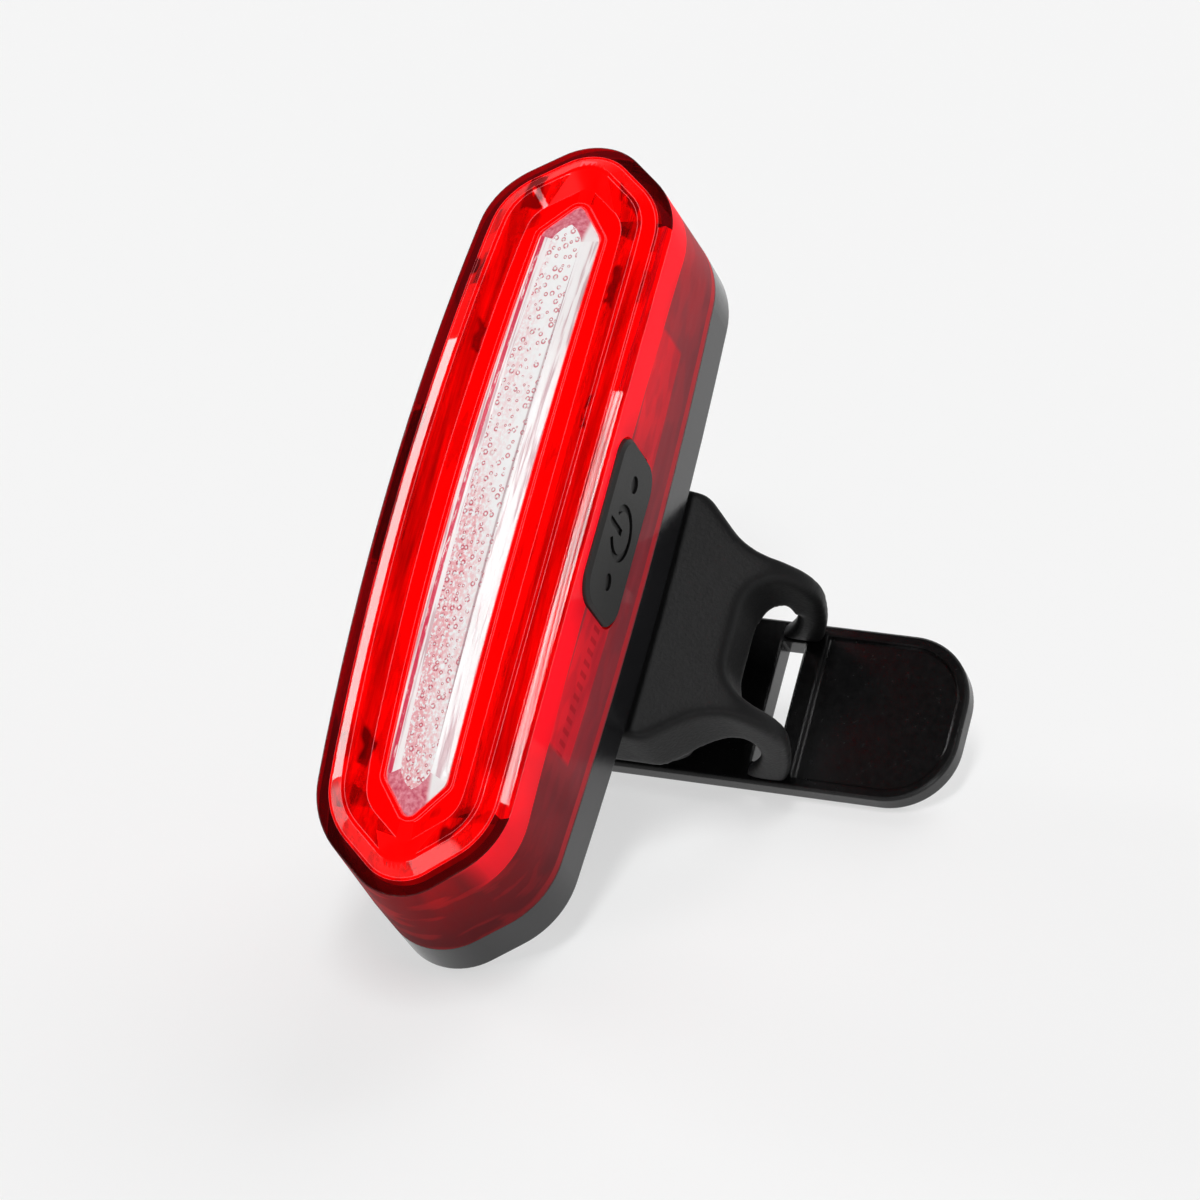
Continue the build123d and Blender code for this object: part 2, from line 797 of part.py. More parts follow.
# Case screws, driven from the back into the lens cover's bosses
with BuildPart() as case_screws:
    with BuildSketch(Plane.XZ.offset(counterbore_depth)):
        with Locations(*case_screw_spots):
            Circle(case_screw_head_radius)
    extrude(amount=-case_screw_head_height)
    with BuildSketch(Plane.XZ.offset(counterbore_depth)):
        with Locations(*case_screw_spots):
            Circle(case_screw_radius)
    extrude(amount=case_screw_length)
    with BuildSketch(Plane.XZ.offset(counterbore_depth - case_screw_head_height)):
        with Locations(*case_screw_spots):
            Rectangle(recess_size, recess_width)
            Rectangle(recess_width, recess_size)
    extrude(amount=recess_depth, mode=Mode.SUBTRACT)
save(case_screws, "case_screws")

# The clip seen from its front: a wide root that narrows to the arms, with the notch between them
with BuildSketch() as clip_outline:
    with BuildLine():
        Polyline(
            (bracket_left, 0),
            (arm_outer_x + 1, 0),
            (arm_outer_x + 1, arm_half_height),
            (neck_x, arm_half_height),
            (root_right, bracket_half_height),
            (bracket_left, bracket_half_height),
            close=True,
        )
    make_face()
    fillet(clip_outline.vertices().filter_by(lambda v: abs(v.X - neck_x) < 0.01), radius=neck_round)
    fillet(clip_outline.vertices().filter_by(lambda v: abs(v.X - root_right) < 0.01), radius=root_round)
    mirror(about=Plane.XZ)

with BuildSketch() as notch_outline:
    with Locations(((notch_left + lever_right) / 2, 0)):
        Rectangle(lever_right - notch_left, 2 * notch_half_height)
    fillet(notch_outline.vertices().group_by(Axis.X)[0], radius=notch_round)

with BuildPart() as clip_notch:
    with BuildSketch(Plane.XZ):
        add(notch_outline.sketch)
    extrude(amount=-arm_inner_y)
    with BuildSketch(Plane.XZ.offset(-arm_inner_y)):
        with Locations(((notch_back_left + lever_right) / 2, 0)):
            Rectangle(lever_right - notch_back_left, 2 * notch_half_height)
    extrude(amount=-lever_front)

with BuildPart() as clip_form:
    with BuildSketch(Plane.XZ):
        add(clip_outline.sketch)
    extrude(amount=-lever_front)

# Clip bracket: a root that slides on the rail, a rounded jaw, and the web that carries the arms
jaw_y = lever_front - jaw_gap - jaw_radius

with BuildPart() as clip_bracket:
    with BuildSketch():
        with BuildLine():
            Line((bracket_left, bracket_gap), (bracket_flat_right, bracket_gap))
            Line((bracket_flat_right, bracket_gap), (web_right, web_front))
            Line((web_right, web_front), (web_right, web_back))
            TangentArc((web_right, web_back), (bracket_back_right, bracket_back), tangent=(-1, 0))
            Line((bracket_back_right, bracket_back), (bracket_left, bracket_back))
            Line((bracket_left, bracket_back), (bracket_left, bracket_gap))
        make_face()
    extrude(amount=bracket_half_height, both=True)
    with BuildSketch():
        with Locations((jaw_x, jaw_y)):
            Circle(jaw_radius)
    extrude(amount=arm_half_height, both=True)
    add(clip_form.part, mode=Mode.INTERSECT)
    add(clip_notch.part, mode=Mode.SUBTRACT)
    with BuildSketch():
        with Locations((0, bracket_gap + bracket_lip / 2)):
            Rectangle(2 * (neck_half_width + rail_gap), bracket_lip)
        with Locations((0, bracket_gap + bracket_lip + head_thickness / 2 + rail_gap)):
            Rectangle(2 * (head_half_width + rail_gap), head_thickness + 2 * rail_gap)
    extrude(amount=bracket_half_height, both=True, mode=Mode.SUBTRACT)
save(clip_bracket, "clip_bracket")

# Spring arms: two curls of one section, above and below the notch
with BuildPart() as clip_spring_arms:
    with BuildSketch():
        with BuildLine():
            outer_curl = ThreePointArc((web_right, web_front), arm_shoulder, (arm_outer_x, arm_outer_y))
            outer_end = TangentArc(outer_curl @ 1, (foot_right, lever_front), tangent=outer_curl % 1)
            Line(outer_end @ 1, (foot_left, lever_front))
            inner_curl = ThreePointArc((web_right, web_back), arm_hollow, (arm_inner_x, arm_inner_y))
            inner_end = TangentArc(inner_curl @ 1, (foot_left, lever_front), tangent=inner_curl % 1)
            Line((web_right, web_back), (web_right, web_front))
        make_face()
    extrude(amount=arm_half_height, both=True)
    add(clip_notch.part, mode=Mode.SUBTRACT)
save(clip_spring_arms, "clip_spring_arms")

# Clip lever: a plate whose left part is the moving jaw and whose right part is the thumb panel
with BuildSketch() as lever_outline:
    with Locations(((lever_left + lever_right) / 2, 0)):
        Rectangle(lever_right - lever_left, 2 * lever_half_height)
    fillet(lever_outline.vertices().group_by(Axis.X)[-1], radius=lever_corner)
    fillet(lever_outline.vertices().group_by(Axis.X)[0], radius=lever_jaw_corner)

with BuildSketch() as panel_outline:
    with Locations(((panel_left + lever_right - panel_margin) / 2, 0)):
        Rectangle(lever_right - panel_margin - panel_left, 2 * (lever_half_height - panel_margin))
    fillet(panel_outline.vertices().group_by(Axis.X)[-1], radius=lever_corner - panel_margin)

with BuildPart() as clip_lever:
    with BuildSketch(Plane.XZ.offset(-lever_front)):
        add(lever_outline.sketch)
    extrude(amount=-lever_thickness)
    chamfer(back_face(clip_lever.part).edges(), length=lever_edge_bevel)
    chamfer(front_face(clip_lever.part).edges(), length=lever_front_bevel)
    with BuildSketch(Plane.XZ.offset(-lever_front)):
        add(panel_outline.sketch)
    extrude(amount=-panel_depth, mode=Mode.SUBTRACT)
    with BuildSketch(Plane.XZ.offset(-lever_front)):
        with Locations(((slot_left + slot_right) / 2, 0)):
            Rectangle(slot_right - slot_left, 2 * notch_half_height)
    extrude(amount=-lever_thickness, mode=Mode.SUBTRACT)
    with BuildSketch():
        with BuildLine():
            Polyline(
                (lever_left - 1, lever_front - 1),
                (lever_left + lead_in, lever_front - 1),
                (lever_left + lead_in, lever_front),
                (lever_left, lever_front + lead_in),
                (lever_left - 1, lever_front + lead_in),
                close=True,
            )
        make_face()
    extrude(amount=lever_half_height, both=True, mode=Mode.SUBTRACT)
save(clip_lever, "clip_lever")
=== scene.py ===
import bpy
import bmesh
import math
from mathutils import Matrix, Vector


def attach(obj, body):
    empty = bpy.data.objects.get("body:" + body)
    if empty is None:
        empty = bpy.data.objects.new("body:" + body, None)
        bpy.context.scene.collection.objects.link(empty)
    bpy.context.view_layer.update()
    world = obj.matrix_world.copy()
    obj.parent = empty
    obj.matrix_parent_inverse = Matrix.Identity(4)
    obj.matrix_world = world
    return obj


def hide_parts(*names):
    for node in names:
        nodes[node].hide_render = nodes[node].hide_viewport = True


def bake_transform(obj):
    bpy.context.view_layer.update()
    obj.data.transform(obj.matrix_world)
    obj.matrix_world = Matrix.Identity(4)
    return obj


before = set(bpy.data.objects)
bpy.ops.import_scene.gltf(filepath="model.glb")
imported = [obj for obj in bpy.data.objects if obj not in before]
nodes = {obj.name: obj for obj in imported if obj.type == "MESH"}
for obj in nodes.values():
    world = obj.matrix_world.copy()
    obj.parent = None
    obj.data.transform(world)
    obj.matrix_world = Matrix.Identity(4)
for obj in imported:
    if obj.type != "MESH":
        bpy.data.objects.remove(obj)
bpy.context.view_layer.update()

scene = bpy.context.scene

# Sizes are in millimetres, as in the CAD source: X to the button's side, Y to the back, Z up.
# A depth is how far a place lies in front of the housing's flat back face.

MM = 0.001
ARCH_RADIUS = 228.4
HALF_WIDTH = 10.48
SIDE_BOW = 0.92
SHOULDER_Z = 31.8
SCREW_Z = 32.7
RIM_DEPTH = 20.5

# The bow of the sides as a share of the height squared: SIDE_BOW over SHOULDER_Z squared
BOW_RATE = 0.00091


def sag(z):
    """How much nearer to the back the bowed front lies at height z than at mid height."""
    return ARCH_RADIUS - math.sqrt(ARCH_RADIUS**2 - z**2)


# Short calls for node trees

class Nodes:
    """A node tree, with calls that add nodes to it and return their outputs."""

    def __init__(self, tree):
        self.tree = tree

    def put(self, socket, value):
        """Gives a socket a value or another node's output. A colour has three numbers."""
        if isinstance(value, bpy.types.NodeSocket):
            self.tree.links.new(value, socket)
        elif socket.type == "RGBA":
            socket.default_value = (*value, 1)
        else:
            socket.default_value = value

    def node(self, kind, **values):
        """A new node. A name in lower case is a setting of the node, and any other is an input."""
        n = self.tree.nodes.new("ShaderNode" + kind)
        for name, value in values.items():
            if name.islower():
                setattr(n, name, value)
            else:
                self.put(n.inputs[name.replace("_", " ")], value)
        return n

    def join(self, kind, *values, **settings):
        """The first output of a new node, whose inputs are given in their order."""
        n = self.node(kind, **settings)
        for socket, value in zip(n.inputs, values):
            self.put(socket, value)
        return n.outputs[0]

    def math(self, operation, a, b=0.0, c=0.0, clamp=False):
        return self.join("Math", a, b, c, operation=operation, use_clamp=clamp)

    def plus(self, a, b):
        return self.math("ADD", a, b)

    def minus(self, a, b, clamp=False):
        return self.math("SUBTRACT", a, b, clamp=clamp)

    def times(self, a, b, clamp=False):
        return self.math("MULTIPLY", a, b, clamp=clamp)

    def times_plus(self, a, b, c, clamp=False):
        """The product of a and b, plus c."""
        return self.math("MULTIPLY_ADD", a, b, c, clamp=clamp)

    def contrast(self, value, gain, offset):
        """The value times gain plus offset, held between nought and one."""
        return self.times_plus(value, gain, offset, clamp=True)

    def larger(self, a, b):
        return self.math("MAXIMUM", a, b)

    def dot(self, a, b):
        n = self.node("VectorMath", operation="DOT_PRODUCT")
        self.put(n.inputs[0], a)
        self.put(n.inputs[1], b)
        return n.outputs["Value"]

    def slope(self, value, start, end, low=0.0, high=1.0, curve="SMOOTHSTEP"):
        """Low where value is before start, high where it is past end, and a slope between."""
        n = self.node("MapRange", interpolation_type=curve, Value=value, From_Min=start, From_Max=end,
                      To_Min=low, To_Max=high)
        return n.outputs[0]

    def above(self, value, edge, soft):
        """One where value is above the edge and nought below it, with a soft step of twice soft."""
        return self.slope(value, edge - soft, edge + soft)

    def below(self, value, edge, soft):
        return self.minus(1.0, self.above(value, edge, soft))

    def between(self, value, low, high, soft):
        return self.minus(self.above(value, low, soft), self.above(value, high, soft))

    def mix(self, factor, first, second):
        """A colour between two. The Mix node has its colours at the inputs 6 and 7 and the output 2."""
        n = self.node("Mix", data_type="RGBA")
        for i, value in ((0, factor), (6, first), (7, second)):
            self.put(n.inputs[i], value)
        return n.outputs[2]

    def tint(self, tone, where, color, share):
        """The tone, with a share of another colour where the value is one."""
        return self.mix(self.times(where, share), tone, color)

    def mix_numbers(self, factor, first, second):
        """A number between two, which the Mix node has at the inputs 2 and 3 and the output 0."""
        n = self.node("Mix")
        for i, value in ((0, factor), (2, first), (3, second)):
            self.put(n.inputs[i], value)
        return n.outputs[0]

    def rays(self, *kinds):
        """One for light paths of any of these kinds, and nought for the others."""
        path = self.node("LightPath")
        total = path.outputs[kinds[0]]
        for kind in kinds[1:]:
            total = self.larger(total, path.outputs[kind])
        return total


class Material(Nodes):
    """A material with its Principled shader, and calls for what the materials here have in common."""

    def __init__(self, name, color, roughness, **inputs):
        self.data = bpy.data.materials.new(name)
        self.data.use_nodes = True
        super().__init__(self.data.node_tree)
        self.principled = self.tree.nodes["Principled BSDF"]
        self.set("Base Color", color)
        self.set("Roughness", roughness)
        for key, value in inputs.items():
            self.set(key.replace("_", " "), value)

    def set(self, name, value):
        """Gives an input of the Principled shader a value or another node's output."""
        self.put(self.principled.inputs[name], value)

    def show(self, shader):
        """Makes a shader the material's surface, in place of the Principled shader alone."""
        self.put(self.tree.nodes["Material Output"].inputs["Surface"], shader)

    def shader(self, kind, color):
        return self.node(kind, Color=color).outputs[0]

    def place(self, stretch=(1, 1, 1)):
        """The point on the object in millimetres, times stretch. It stays on the object as that moves."""
        point = self.node("TexCoord").outputs["Object"]
        return self.join("VectorMath", point, [k / MM for k in stretch], operation="MULTIPLY")

    def parts(self, vector):
        """The x, y and z of a vector, or the red, green and blue of a colour."""
        return self.node("SeparateXYZ", Vector=vector).outputs

    def position(self):
        """The point's x, y and z in millimetres."""
        return self.parts(self.place())

    def noise(self, stretch, detail=2.0, roughness=0.5, scale=1.0):
        """Noise whose cells are finer along an axis with a larger stretch."""
        return self.node("TexNoise", Vector=self.place(stretch), Scale=scale, Detail=detail,
                         Roughness=roughness).outputs[0]

    def ramp(self, value, *stops):
        """The colour for a value, among stops that are a place and a colour each."""
        n = self.node("ValToRGB", Fac=value)
        elements = n.color_ramp.elements
        while len(elements) < len(stops):
            elements.new(0.5)
        for element, (at, color) in zip(elements, stops):
            element.position = at
            element.color = (*color, 1)
        return n.outputs[0]

    def soft_edge(self, radius):
        """The normal of a surface whose edges are rounded by this radius."""
        return self.node("Bevel", samples=4, Radius=radius * MM).outputs[0]

    def edge_highlight(self, radius):
        """One at the moulded edges, where a rounded normal would leave the true one: where the painted
        highlights are drawn.
        """
        agreement = self.dot(self.soft_edge(radius), self.node("NewGeometry").outputs["True Normal"])
        return self.times(self.minus(EDGE_AGREEMENT, agreement, clamp=True), EDGE_GAIN, clamp=True)

    def bump(self, height, depth, edge=0.0):
        """Relief of this depth, on edges that are rounded by the radius edge."""
        n = self.node("Bump", Height=height, Distance=depth * MM)
        if edge:
            self.put(n.inputs["Normal"], self.soft_edge(edge))
        self.set("Normal", n.outputs[0])


# Materials that several pieces share

# A painted highlight is drawn along an edge where the rounded and the true normal agree less than this, and
# the gain makes it full
EDGE_AGREEMENT = 0.9985
EDGE_GAIN = 250
EDGE_RADIUS = 0.11
EDGE_HIGHLIGHT_COLOR = (0.95, 0.24, 0.27)

BROAD_SCALE = 0.12
ROUGHNESS_RANGE = 0.16

# The stretch of a noise that is drawn out along the body
ALONG = (0.9, 0.9, 0.12)


def dress(name, *materials):
    """Gives a CAD node its materials."""
    slots = nodes[name].data.materials
    slots.clear()
    for material in materials:
        slots.append(material.data)


def grained(name, color, roughness, grain, depth, edge=0.0, spread=0.25, **inputs):
    """Moulded surface: broad changes of tone, and a fine grain in roughness and in relief.
    Grain is the size of the grain and depth that of the relief."""
    m = Material(name, color, roughness, **inputs)
    fine = m.noise((1, 1, 1), detail=3, scale=1 / grain)
    broad = m.noise((1, 1, 1), scale=BROAD_SCALE)
    dark = [c * (1 - spread) for c in color]
    light = [min(1, c * (1 + spread)) for c in color]
    m.set("Base Color", m.ramp(broad, (0.35, dark), (0.65, light)))
    m.set("Roughness", m.times_plus(fine, ROUGHNESS_RANGE, roughness - ROUGHNESS_RANGE / 2))
    m.bump(fine, depth, edge)
    return m


def streaks(low, high, stretch=ALONG):
    """A colour that wanders between low and high, drawn out along the body."""
    def tone(m):
        return m.ramp(m.noise(stretch, detail=3), (0.38, low), (0.62, high))
    return tone


def glassy(name, color, shadow, cloud, share, roughness=0.02, edge=0.0, level=0.35, line=0.0):
    """Clear moulded plastic, of which a share is cloudy: light scatters in it, both back and through.
    Its shadow is its own colour, so that light reaches what is inside. Line is how strongly the painted
    highlights along its edges are drawn. Cloud and share are values, or functions that make them for the
    material."""
    m = Material(name, color, roughness, IOR=1.5, Transmission_Weight=1.0, Specular_IOR_Level=level)
    if edge:
        m.set("Normal", m.soft_edge(edge))
    tone = cloud(m) if callable(cloud) else cloud
    scatter = m.join("AddShader", m.shader("BsdfDiffuse", tone), m.shader("BsdfTranslucent", tone))
    cloudy = share(m) if callable(share) else share
    surface = m.join("MixShader", cloudy, m.principled.outputs[0], scatter)
    # Painted highlights: a pale colour drawn along the moulded edges
    if line:
        drawn = m.times(m.edge_highlight(EDGE_RADIUS), line)
        surface = m.join("MixShader", drawn, surface, m.shader("BsdfDiffuse", EDGE_HIGHLIGHT_COLOR))
    shade = m.shader("BsdfTransparent", shadow)
    m.show(m.join("MixShader", m.rays("Is Shadow Ray"), surface, shade))
    return m


# Side wall of the lens: what lies behind it shows as bands along the body. The lit tray and the front of the
# wall are painted brighter, as painted light.
# A pair of colours is the darker and the lighter patches of one band.

SEAM_BAND = (5.7, 6.6)
TRAY_BAND = (10.4, 16.0)
TEETH_BAND = (12.2, 13.6)
TRAY_END = 20.5
TEETH_TOP = -5
TEETH_PER_MM = 0.9
FRONT_BAND = 16.7
FRONT_BAND_BOW = 0.0028
FRONT_BAND_LOWER_END = -33.5
LOWER_FADE = (-24, -19)
END_FADE = (-36, -24)

UPPER_BACK = ((0.26, 0.055, 0.068), (0.32, 0.055, 0.068))
LOWER_BACK = ((0.14, 0.027, 0.034), (0.18, 0.028, 0.036))
LOWER_END = ((0.12, 0.010, 0.014), (0.21, 0.012, 0.016))
LIT_TRAY_TONES = ((0.54, 0.033, 0.051), (0.66, 0.034, 0.052))
WANDER_TONE = (0.22, 0.016, 0.022)
SEAM_TONE = (0.60, 0.035, 0.045)
TEETH_TONE = (0.20, 0.012, 0.018)
LIT_FRONT_TONE = (0.72, 0.018, 0.036)


def tray_teeth(m, depth, z):
    """The row of notches along the tray below the button."""
    across = m.between(depth, *TEETH_BAND, soft=0.06)
    along = m.between(z, -TRAY_END, TEETH_TOP, soft=0.1)
    place_in_tooth = m.math("FRACT", m.times(z, TEETH_PER_MM))
    return m.times(m.times(across, along), m.between(place_in_tooth, 0.30, 0.72, soft=0.05))


def side_tone(m):
    """Painted light: bright along the front of the wall and where the lit tray lies behind it. Maroon along
    the back, darker towards the lower end.
    """
    _, y, z = m.position()
    depth = m.times(y, -1)
    patches = m.above(m.noise((0.2, 0.5, 0.22), detail=1), 0.5, soft=0.10)
    back = m.mix(m.slope(z, *LOWER_FADE), m.mix(patches, *LOWER_BACK), m.mix(patches, *UPPER_BACK))
    tray = m.times(m.between(depth, *TRAY_BAND, soft=0.15), m.between(z, -TRAY_END, TRAY_END, soft=0.3))
    # Painted light: the lit tray behind the wall
    tone = m.mix(tray, back, m.mix(patches, *LIT_TRAY_TONES))
    tone = m.tint(tone, m.noise((0.3, 0.9, 0.16)), WANDER_TONE, share=0.35)
    tone = m.tint(tone, m.between(depth, *SEAM_BAND, soft=0.12), SEAM_TONE, share=0.7)
    tone = m.tint(tone, tray_teeth(m, depth, z), TEETH_TONE, share=0.4)
    lower_end = m.mix(m.above(m.noise((0.13, 0.55, 0.25)), 0.55, soft=0.04), *LOWER_END)
    tone = m.mix(m.slope(z, *END_FADE), lower_end, tone)
    # Painted light: the bright front of the wall
    lit_front_band = m.above(m.times_plus(m.times(z, z), FRONT_BAND_BOW, depth), FRONT_BAND, soft=0.12)
    return m.mix(m.times(lit_front_band, m.above(z, FRONT_BAND_LOWER_END, soft=1.2)), tone, LIT_FRONT_TONE)


# Front of the lens: clear rings around a valley, with streaks, painted shade along both sides and in dark
# places, and a painted reflection at the upper end

RED = (0.99, 0.004, 0.003)
TINT = (0.93, 0.03, 0.03)
CLEAR_BAND = (8.75, 9.62)
CLEAR_SHARE = 0.75
RIGHT_SHADE = (6.15, 8.5)
LEFT_SHADE = (5.4, 6.75)
SHADE_END = 25.5
SHADE_TONES = ((0.16, 0.0006, 0.0006), (0.40, 0.001, 0.001))
APEX_LEAN = 0.25
APEX_ACROSS = (7.4, 8.9)
APEX_HEIGHT = (32.6, 35.2)
APEX_REFLECTION_TONE = (0.90, 0.16, 0.19)
FACET_SHADE_TONE = (0.035, 0.0005, 0.001)
DARK_SHARE = 0.85

# The places of painted shade: x and z of each middle, half its width and height, and how much it leans
FACET_SHADE_PLACES = (
    (4.6, 31.2, 1.4, 0.6, 1.0),
    (-4.6, 31.0, 0.8, 1.8, -0.6),
    (-8.3, 23.0, 0.7, 0.8, 0.3),
    (5.7, 22.0, 0.5, 2.0, 0.3),
    (-5.4, -24.5, 0.6, 1.6, 0.5),
    (4.6, -30.6, 1.1, 0.6, -1.0),
    (-5.6, 15.8, 0.35, 1.5, 0.4),
    (7.0, 9.0, 0.3, 1.6, 0.0),
)
FACET_SHADE_WARP = (1.6, -3.0)


def rim_share(m):
    """The right rim's lit copy, which is painted light, is clear, and so it shines, only along its outer
    part.
    """
    x, _, z = m.position()
    ring = m.times_plus(m.times(z, z), BOW_RATE, m.math("ABSOLUTE", x))
    drawn = m.contrast(m.noise((5.0, 0.0, 0.05)), gain=2.6, offset=-0.75)
    clear = m.times(m.between(ring, *CLEAR_BAND, soft=0.04), m.times(drawn, CLEAR_SHARE))
    return m.minus(1.0, clear)


def facet_marks(m):
    """Painted shade: dark places where the clear facets would show the dark inside of the walls."""
    x, _, z = m.position()
    warp = m.noise((0.5, 0.0, 0.3), detail=1)
    warp_x, warp_z = FACET_SHADE_WARP
    x = m.times_plus(warp, warp_x, m.minus(x, warp_x / 2))
    z = m.times_plus(warp, warp_z, m.plus(z, -warp_z / 2))
    total = 0.0
    for patch_x, patch_z, half_x, half_z, lean in FACET_SHADE_PLACES:
        across = m.minus(x, patch_x)
        along = m.times_plus(across, lean, m.minus(z, patch_z))
        inside_x = m.between(across, -half_x, half_x, soft=0.18)
        inside_z = m.between(along, -half_z, half_z, soft=0.25)
        total = m.larger(total, m.times(inside_x, inside_z))
    return m.times(total, m.above(m.noise((1.1, 0.0, 0.5)), 0.36, soft=0.05))


def painted_apex_reflection(m, x, z):
    """A painted reflection: the pale facet at the middle of the upper end."""
    across = m.between(m.times_plus(z, APEX_LEAN, x), *APEX_ACROSS, soft=0.1)
    return m.times(across, m.between(z, *APEX_HEIGHT, soft=0.1))


def side_shade(m, x, z):
    """The painted shade of the rings along both sides: dark strips that follow the bow of the outline."""
    bow = m.times(m.times(z, z), BOW_RATE)
    right = m.between(m.plus(x, bow), *RIGHT_SHADE, soft=0.08)
    left = m.between(m.minus(bow, x), *LEFT_SHADE, soft=0.08)
    return m.times(m.plus(right, left), m.between(z, -SHADE_END, SHADE_END, soft=1.0))


def front(low, high, share, stretch=ALONG):
    """What glassy needs for a front surface that wanders between low and high. The painted shade of the
    facets and of the sides, which its cloud draws, is kept with the material, because its share needs it
    too."""
    def cloud(m):
        x, _, z = m.position()
        m.marks = facet_marks(m)
        m.shade = side_shade(m, x, z)
        # Painted reflection on the facet at the upper end
        tone = m.tint(streaks(low, high, stretch)(m), painted_apex_reflection(m, x, z), APEX_REFLECTION_TONE, share=0.7)
        dark, light = SHADE_TONES
        shade_tone = m.ramp(m.noise((1.8, 0.0, 0.10), detail=3), (0.36, dark), (0.64, light))
        tone = m.tint(tone, m.shade, shade_tone, share=0.85)
        return m.mix(m.marks, tone, FACET_SHADE_TONE)

    def cloudy(m):
        return m.times_plus(m.larger(m.marks, m.shade), DARK_SHARE - share, share)

    return {"cloud": cloud, "share": cloudy, "edge": 0.1, "line": 0.55}


# Lens: one red plastic, clear at the rim and cloudier where its back is textured. Its surfaces get copies of
# it in other tones: the rim is dark as painted shade, the right rim brighter as painted light, and the
# slopes darker than the flats as painted shade

LENS_KINDS = {
    # Painted shade: the rim's near black red
    "rim": glassy("lens_rim", (0.07, 0.001, 0.002), (0.2, 0.02, 0.02),
                  cloud=(0.045, 0.001, 0.002), share=0.4, edge=0.25, level=0.25),
    # Painted light: a lit copy of the rim, for its right side
    "lit": glassy("lens_rim_lit", (0.60, 0.004, 0.01), (0.5, 0.02, 0.02),
                  cloud=streaks((0.30, 0.001, 0.002), (0.62, 0.002, 0.003)), share=rim_share,
                  edge=0.12, line=0.6),
    "flat": glassy("lens_flat", (0.90, 0.003, 0.002), TINT,
                   **front((0.22, 0.001, 0.001), (0.90, 0.001, 0.001), 0.55, (0.45, 0.45, 0.09))),
    "bevel": glassy("lens_bevel", RED, TINT, **front((0.14, 0.001, 0.001), (0.60, 0.001, 0.001), 0.5)),
    # Painted shade: the slopes are darker than the flats
    "slope": glassy("lens_slope", (0.80, 0.003, 0.002), TINT,
                    **front((0.06, 0.001, 0.001), (0.42, 0.001, 0.001), 0.62)),
    "side": glassy("lens_side", RED, (0.15, 0.05, 0.05),
                   cloud=side_tone, share=0.88, edge=0.25, level=0.10),
    "inside": glassy("lens_inside", RED, TINT, cloud=(0.90, 0.002, 0.003), share=0.08, roughness=0.1),
    "end": glassy("lens_end", RED, TINT,
                  cloud=streaks((0.55, 0.001, 0.001), (0.85, 0.002, 0.002)), share=0.9, roughness=0.3),
}

# Where the lens's surfaces begin and end
MIDLINE_END = 28
STRAIGHT_END = 27
SLANT_START = 29
LIT_END = 29
INSIDE_END = 29.5
OUTSIDE_END = 35.2
WALL = 0.95
END_SLANT = 0.9
SIDE_DEPTH = 20.2
BOSS_RADIUS = 2.1
BOSS_DEPTH = 19
RIM_PLAY = 0.02

# A face looks to the back or to the front where its normal has more than FACING along Y, and it is
# level with the front where it leans less than LEVEL_TILT
FACING = 0.5
LEVEL_TILT = 0.08


def outside(c):
    """Whether a point of the lens's walls is on its outer face, by how far out it lies."""
    z = abs(c.z)
    if z < STRAIGHT_END:
        half = HALF_WIDTH - SIDE_BOW * (z / SHOULDER_Z)**2
    else:
        half = HALF_WIDTH - SIDE_BOW - (z - SLANT_START) * END_SLANT
    return abs(c.x) > half - WALL or z > OUTSIDE_END


def lens_kind(c, n):
    """Which of the lens's surfaces a face with centre c and normal n belongs to. Tilt is how far its
    normal leans outward, away from the midline of the rings, when the front's bow is taken out."""
    depth = -c.y + sag(c.z)
    midline = Vector((0, max(-MIDLINE_END, min(MIDLINE_END, c.z))))
    outward = (Vector((c.x, c.z)) - midline).normalized()
    tilt = n.x * outward.x + (n.z - c.z / ARCH_RADIUS) * outward.y
    if c.x**2 + (abs(c.z) - SCREW_Z)**2 < BOSS_RADIUS**2 and -c.y < BOSS_DEPTH:
        return "end"
    if n.y > FACING:
        return "end" if abs(c.z) > INSIDE_END else "inside"
    if n.y > -FACING:
        return "side" if tilt > 0 and depth < SIDE_DEPTH and outside(c) else "inside"
    if abs(tilt) < LEVEL_TILT:
        return "flat"
    if tilt < 0:
        return "slope"
    if depth > RIM_DEPTH - RIM_PLAY:
        return "bevel"
    # The right side of the rim, along its straight part, takes the lit copy of the rim: painted light
    return "lit" if c.x > 0 and abs(c.z) < LIT_END else "rim"


dress("lens_cover", *LENS_KINDS.values())
kind_order = list(LENS_KINDS)
for face in nodes["lens_cover"].data.polygons:
    face.material_index = kind_order.index(lens_kind(face.center / MM, face.normal))

# Window: a raised clear block on the light strip, with moulded dots drawn on its top face

WINDOW_HALF = 3.25
WINDOW_BOW = 0.35
WINDOW_APEX = 30.55
WINDOW_TIP = 1.22
APEX_INSET_RATE = 1.577
CORNER_CUT = 0.7
TIP_HALF = 0.55
TIP_CUT = 0.3
TOP_DEPTH = 21.1
END_NORMAL = 0.22

# Rings of the block from the back to the front: how far each is moved in, and its depth
WINDOW_RINGS = ((-0.6, 19.05), (-0.6, 19.75), (0.0, 19.75), (0.0, 20.55), (1.45, 21.13))

GLAZE = {"Coat_Weight": 0.4, "Coat_Roughness": 0.03}
LINE_BAND = (1.50, 1.70)
STRIPE_BAND = (2.30, 2.80)


